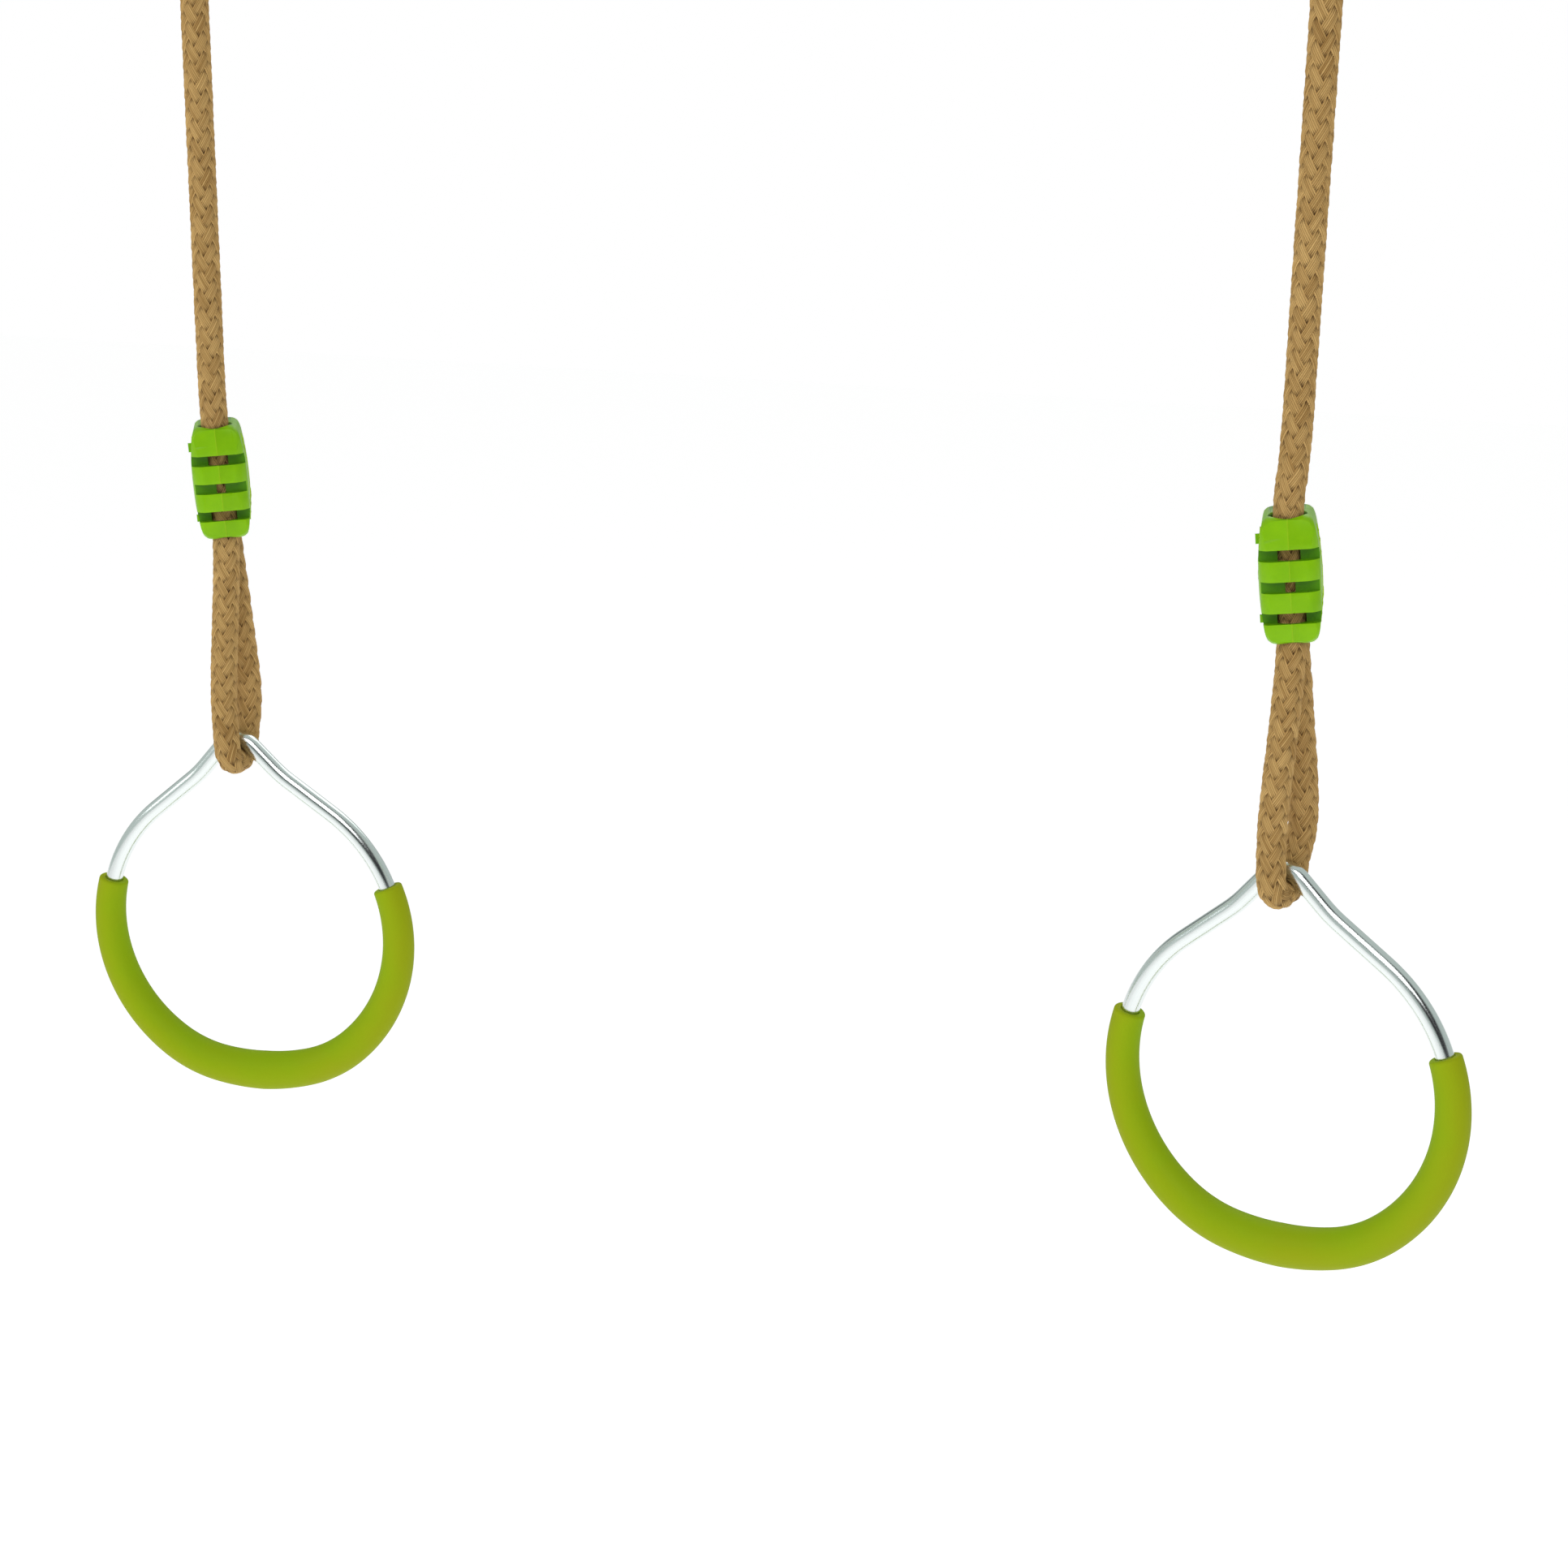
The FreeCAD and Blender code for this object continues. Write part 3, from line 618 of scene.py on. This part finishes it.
def buildRing(label, side):
    right = closedHalfRing()
    left = [(-x, z, -heading) for x, z, heading in reversed(right)]
    loop = left[:-1] + right
    rod = sweepRound([(x, z, heading, shared["rodRadius"]) for x, z, heading in loop])
    bmesh.ops.transform(rod, matrix=side["ringPlace"], verts=rod.verts)
    rodPiece = newPiece(f"{label}RingRod", rod, zincMaterial)
    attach(rodPiece, f"{label}_ring")
    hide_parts(f"{label}_ring_rod")

    rise = math.asin(ring["gripRise"] / ring["side"][0])
    start = math.pi / 2 - rise
    covered = [station for station in right if station[2] > start + 1e-6]
    side0 = next(number for number, station in enumerate(right) if station[2] > start + 1e-6)
    before = right[side0 - 1]
    part = (start - before[2]) / (right[side0][2] - before[2])
    first = tuple(one + (two - one) * part for one, two in zip(before, right[side0]))
    covered = [first] + covered
    reaches = [0.0]
    for one, two in zip(covered, covered[1:]):
        reaches.append(reaches[-1] + math.hypot(two[0] - one[0], two[1] - one[1]))
    edge = ring["gripEdge"]

    def outerRadius(reach):
        full = ring["gripEnd"] + (ring["gripMiddle"] - ring["gripEnd"]) * (reach / reaches[-1])
        if reach < edge:
            full -= edge - math.sqrt(max(0.0, edge ** 2 - (edge - reach) ** 2))
        return full

    def atReach(reach):
        index = next((number for number, value in enumerate(reaches) if value > reach), len(reaches) - 1)
        share = (reach - reaches[index - 1]) / (reaches[index] - reaches[index - 1])
        one, two = covered[index - 1], covered[index]
        return tuple(a + (b - a) * share for a, b in zip(one, two))

    rounding = [edge * (1 - math.cos(math.radians(turn))) for turn in (0, 15, 30, 45, 60, 75, 90)]
    outer = [(*atReach(reach), outerRadius(reach)) for reach in rounding]
    outer += [(*station, outerRadius(reach)) for station, reach in zip(covered, reaches)
              if reach > edge * 1.5]
    half = [(*first, ring["gripBore"]), (*first, (ring["gripBore"] + outerRadius(0)) / 2)] + outer
    # the left end first, round the bottom to the right end, then back through the bore
    downLeft = [(-x, z, math.pi - heading, radius) for x, z, heading, radius in half]
    upRight = [(x, z, math.pi + heading, radius) for x, z, heading, radius in reversed(half)]
    back = [(x, z, heading, ring["gripBore"]) for x, z, heading, radius in reversed(downLeft + upRight[1:])]
    sleeve = sweepRound(downLeft + upRight[1:] + back[1:])
    bmesh.ops.transform(sleeve, matrix=side["ringPlace"], verts=sleeve.verts)
    gripPiece = newPiece(f"{label}RingGrip", sleeve, gripMaterial)
    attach(gripPiece, f"{label}_ring")
    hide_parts(f"{label}_ring_grip")


for label, side in sides.items():
    buildRing(label, side)
print("rings made")

# adjuster mouldings

adjusterShape = {
    "edge": 0.0006,
    "shoulder": 0.0195,
    "shoulderDepth": 0.0065,
    "shoulderDraw": 0.8,  # how much of the wall is drawn in at the very end
    "mouth": 0.0085,
    "seamHalf": 0.0002,
    "seamProud": 0.00015,
    "slotBack": 0.0165,
    "slotReach": 0.0215,
    "channel": 0.0078,
    "halfWidth": 0.0125,
    "tabThickness": 0.0006,
    "tabs": [(0.0145, 0.0042, 0.0010), (-0.0185, 0.0034, 0.0007)],  # height, length, how proud
}


def buildAdjusterHalf(label, side, letter):
    node = f"{label}_adjuster_half_{letter}"
    bm = bmesh.new()
    bm.from_mesh(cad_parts[node].data)
    rim = bm.faces.layers.float.new("rim")
    hollowShade = bm.faces.layers.float.new("hollowShade")
    bmesh.ops.transform(bm, matrix=side["adjusterSolid"].inverted(), verts=bm.verts)
    bmesh.ops.remove_doubles(bm, verts=bm.verts, dist=1e-6)
    bmesh.ops.dissolve_limit(bm, angle_limit=math.radians(0.6), verts=bm.verts, edges=bm.edges,
                             delimit={"NORMAL"})
    shoulder, depth = adjusterShape["shoulder"], adjusterShape["shoulderDepth"]  # round the shoulders over
    for step in range(6):
        for end in (-1, 1):
            height = end * (shoulder + depth * math.sin(math.radians(15 * step)))
            bmesh.ops.bisect_plane(bm, geom=bm.verts[:] + bm.edges[:] + bm.faces[:], dist=1e-6,
                                   plane_co=(0, 0, height), plane_no=(0, 0, 1))
    for vertex in bm.verts:
        over = (abs(vertex.co.z) - shoulder) / depth
        beyond = abs(vertex.co.x) - adjusterShape["mouth"]
        if over > 0 and beyond > 0:
            kept = 1 - adjusterShape["shoulderDraw"] * (1 - math.sqrt(max(0.0, 1 - over * over)))
            vertex.co.x = math.copysign(adjusterShape["mouth"] + beyond * kept, vertex.co.x)
    sharp = [edge for edge in bm.edges if len(edge.link_faces) == 2
             and edge.calc_face_angle() > math.radians(35)
             and not all(abs(vertex.co.x) < 2e-5 for vertex in edge.verts)]
    softened = bmesh.ops.bevel(bm, geom=sharp, offset=adjusterShape["edge"], affect="EDGES", segments=2,
                               profile=0.5, material=-1, clamp_overlap=True)
    # painted highlight: the bevelled edge faces are marked fully for the lighter rim colour
    for face in softened["faces"]:
        face[rim] = 1.0

    for face in bm.faces:  # the slots and channels are in shade and look a deeper green
        middle, normal = face.calc_center_median(), face.normal
        slotBack = abs(normal.y) > 0.9 and abs(middle.y) < adjusterShape["slotBack"]
        slotLedge = abs(normal.z) > 0.95 and abs(middle.z) < adjusterShape["slotReach"]
        inChannel = math.hypot(middle.x, abs(middle.y) - shared["channelOffset"]) < adjusterShape["channel"]
        face[hollowShade] = 1.0 if slotBack or inChannel else 0.75 if slotLedge else 0.0

    # a fine raised seam where the two halves meet
    sign = -1 if letter == "a" else 1
    seam = adjusterShape["seamHalf"]
    bmesh.ops.bisect_plane(bm, geom=bm.verts[:] + bm.edges[:] + bm.faces[:], dist=1e-6,
                           plane_co=(sign * seam, 0, 0), plane_no=(1, 0, 0))
    bm.normal_update()
    pushes = []
    for vertex in bm.verts:
        if abs(vertex.co.x) > 2e-5:
            continue
        outside = [face.normal for face in vertex.link_faces if abs(face.normal.x) < 0.7]
        push = sum(outside, Vector()).normalized() if outside else Vector()
        if push.dot(Vector((0, vertex.co.y, vertex.co.z * 0.3))) > 0.003:
            pushes.append((vertex, Vector((0, push.y, push.z)) * adjusterShape["seamProud"]))
    for vertex, push in pushes:
        vertex.co += push
    # painted highlight: the seam faces are marked part-way for the lighter rim colour
    for face in bm.faces:
        if all(abs(vertex.co.x) < seam + 2e-5 for vertex in face.verts) and abs(face.normal.x) < 0.9:
            face[rim] = 0.4

    # moulding tabs on the left side
    for height, length, proud in (adjusterShape["tabs"] if letter == "a" else []):
        tab = bmesh.ops.create_cube(bm, size=1.0)["verts"]
        bmesh.ops.scale(bm, vec=(proud + 0.001, adjusterShape["tabThickness"], length), verts=tab)
        bmesh.ops.translate(bm, vec=(-adjusterShape["halfWidth"] - proud / 2 + 0.0005, 0.0035, height),
                            verts=tab)
    bmesh.ops.triangulate(bm, faces=bm.faces)
    bmesh.ops.transform(bm, matrix=side["adjusterPlace"], verts=bm.verts)
    piece = newPiece(f"{label}AdjusterHalf{letter.upper()}", bm, limeMaterial)
    piece.data.set_sharp_from_angle(angle=math.radians(40))
    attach(piece, f"{label}_adjuster")
    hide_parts(node)


flash = {
    "length": 0.040,
    "steps": 46,
    "proud": 0.0003,
    "ragged": 0.0006,
    "raggedPitch": 420.0,
    "sunk": 0.0006,
    "thickness": 0.0004,
    "crownAcross": 0.26,  # twice the radius of the moulding's crowned side
}


def buildFlash(label, side, sign):
    bm = bmesh.new()
    rim = bm.faces.layers.float.new("rim")
    strip = bmesh.ops.create_grid(bm, x_segments=1, y_segments=flash["steps"], size=0.5)["verts"]
    for vertex in strip:
        height = vertex.co.y * flash["length"]
        rough = noise.noise(Vector((height * flash["raggedPitch"], sign * 3.0, 1.7)))
        proud = flash["proud"] + flash["ragged"] * max(0.0, rough)
        crown = height ** 2 / flash["crownAcross"]
        reach = adjusterShape["halfWidth"] - crown + (proud if vertex.co.x > 0 else -flash["sunk"])
        vertex.co = Vector((sign * reach, flash["ragged"] * rough, height))
    bmesh.ops.solidify(bm, geom=bm.faces[:], thickness=flash["thickness"])
    # painted highlight: the flash is marked half-way for the lighter rim colour
    for face in bm.faces:
        face[rim] = 0.5
    bmesh.ops.recalc_face_normals(bm, faces=bm.faces)
    bmesh.ops.transform(bm, matrix=side["adjusterPlace"], verts=bm.verts)
    piece = newPiece(f"{label}AdjusterFlash{'Right' if sign > 0 else 'Left'}", bm, limeMaterial)
    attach(piece, f"{label}_adjuster")


def buildTailStop(label, side):
    node = f"{label}_tail_stop"
    bm = bmesh.new()
    bm.from_mesh(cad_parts[node].data)
    bmesh.ops.remove_doubles(bm, verts=bm.verts, dist=1e-6)
    bmesh.ops.transform(bm, matrix=side["adjusterPlace"] @ side["adjusterSolid"].inverted(), verts=bm.verts)
    piece = newPiece(f"{label}TailStop", bm, ferruleMaterial)
    piece.data.set_sharp_from_angle(angle=math.radians(40))
    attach(piece, f"{label}_adjuster")
    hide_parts(node)


for label, side in sides.items():
    for letter in ("a", "b"):
        buildAdjusterHalf(label, side, letter)
    for sign in (-1, 1):
        buildFlash(label, side, sign)
    buildTailStop(label, side)
print("adjusters made")

# steel that stays as the frame has it

steelParts = {"hook": galvMaterial, "link": galvMaterial, "thimble": galvMaterial,
              "ferrule": ferruleMaterial}
for label in sides:
    for part, finish in steelParts.items():
        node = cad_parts[f"{label}_{part}"]
        for slot in node.material_slots:
            slot.material = finish

# studio

studio = {
    "floorHeight": -1.9,
    "floorSize": 24.0,
    "lights": [
        ("key", (1.3, -2.2, 1.5), 1.6, 30.0),
        ("fill", (-1.9, -1.9, 0.9), 1.6, 22.0),
        ("back", (0.3, 2.2, 1.4), 2.0, 14.0),
    ],
    "aim": (0.25, 0.0, -0.5),
}

floorMesh = bmesh.new()
bmesh.ops.create_grid(floorMesh, x_segments=2, y_segments=2, size=studio["floorSize"] / 2)
bmesh.ops.translate(floorMesh, verts=floorMesh.verts, vec=(0, 0, studio["floorHeight"]))
floorData = bpy.data.meshes.new("floor")
floorMesh.to_mesh(floorData)
floorMesh.free()
floor = bpy.data.objects.new("floor", floorData)
floorPaint = bpy.data.materials.new("paleFloor")
floorPaint.use_nodes = True
floorShader = floorPaint.node_tree.nodes["Principled BSDF"]
floorShader.inputs["Base Color"].default_value = (0.92, 0.92, 0.92, 1)
floorShader.inputs["Roughness"].default_value = 0.9
floorShader.inputs["Emission Color"].default_value = (1, 1, 1, 1)
floorShader.inputs["Emission Strength"].default_value = 0.6
floorData.materials.append(floorPaint)
scene.collection.objects.link(floor)

for name, place, width, power in studio["lights"]:
    lamp = bpy.data.lights.new(name, "AREA")
    lamp.size = width
    lamp.energy = power
    light = bpy.data.objects.new(name, lamp)
    light.location = place
    light.rotation_euler = (Vector(studio["aim"]) - Vector(place)).to_track_quat("-Z", "Y").to_euler()
    scene.collection.objects.link(light)

world = bpy.data.worlds.new("studio")
scene.world = world
world.use_nodes = True
tree = world.node_tree
shade = Signal(tree)
direction = shade.node("TexCoord", output=0)


def darkCard(toward, near, far):
    facing = shade.node("VectorMath", {"operation": "DOT_PRODUCT"},
                        {0: direction, 1: Vector(toward).normalized()}, 1)
    return shade.node("MapRange", {"interpolation_type": "SMOOTHSTEP"},
                      {"Value": facing, "From Min": far, "From Max": near, "To Min": 0.0, "To Max": 1.0})


dark = (darkCard((0.48, -0.70, 0.53), 0.87, 0.76) + darkCard((-0.75, 0.55, 0.33), 0.985, 0.965) * 0.7
        + darkCard((-0.1, 0.95, -0.3), 0.95, 0.88) * 0.45)
ramp = dark.clamp(0.0, 1.0).blend((0.56, 0.62, 0.595, 1), (0.012, 0.012, 0.014, 1))
path = shade.node("LightPath", output=0)
glossy = shade.node("LightPath", output=3)
soft = shade.node("Mix", {"data_type": "RGBA"}, {0: glossy, 6: (0.42, 0.42, 0.42, 1), 7: ramp}, 2)
seen = shade.node("Mix", {"data_type": "RGBA"}, {0: path, 6: soft, 7: (1, 1, 1, 1)}, 2)
tree.links.new(seen.socket, tree.nodes["Background"].inputs["Color"])
tree.nodes["Background"].inputs["Strength"].default_value = 1.0

scene.view_settings.view_transform = "Standard"
print("studio lit")
